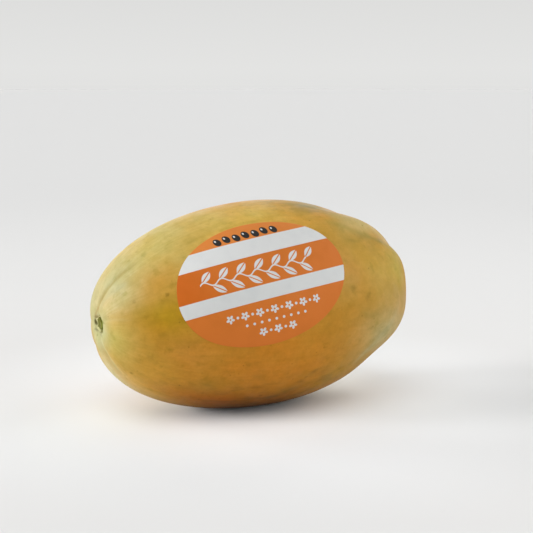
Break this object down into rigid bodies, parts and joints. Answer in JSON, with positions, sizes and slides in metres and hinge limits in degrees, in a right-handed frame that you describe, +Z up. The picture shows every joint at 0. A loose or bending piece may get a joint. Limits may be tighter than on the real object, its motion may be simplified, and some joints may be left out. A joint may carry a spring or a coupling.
{
  "type": "papaya",
  "caption": "Whole ripe papaya lying on its side, lobed round the sunken stem scar, blunt and ribbed at the blossom end, with a large oval paper sticker on its cheek.",
  "frame": {"origin": "on the surface that the fruit lies on, under the middle of its outline", "axes": "+Z up, +X along the fruit from the stem end to the blossom end, -Y the side that carries the sticker"},
  "size_m": [0.2102, 0.129, 0.1275],
  "materials": {
    "papaya_skin": "satin",
    "sticker_paper": "satin"
  },
  "bodies": {
    "root": {"fruit": "papaya_skin", "sticker": "sticker_paper"}
  },
  "joints": []
}
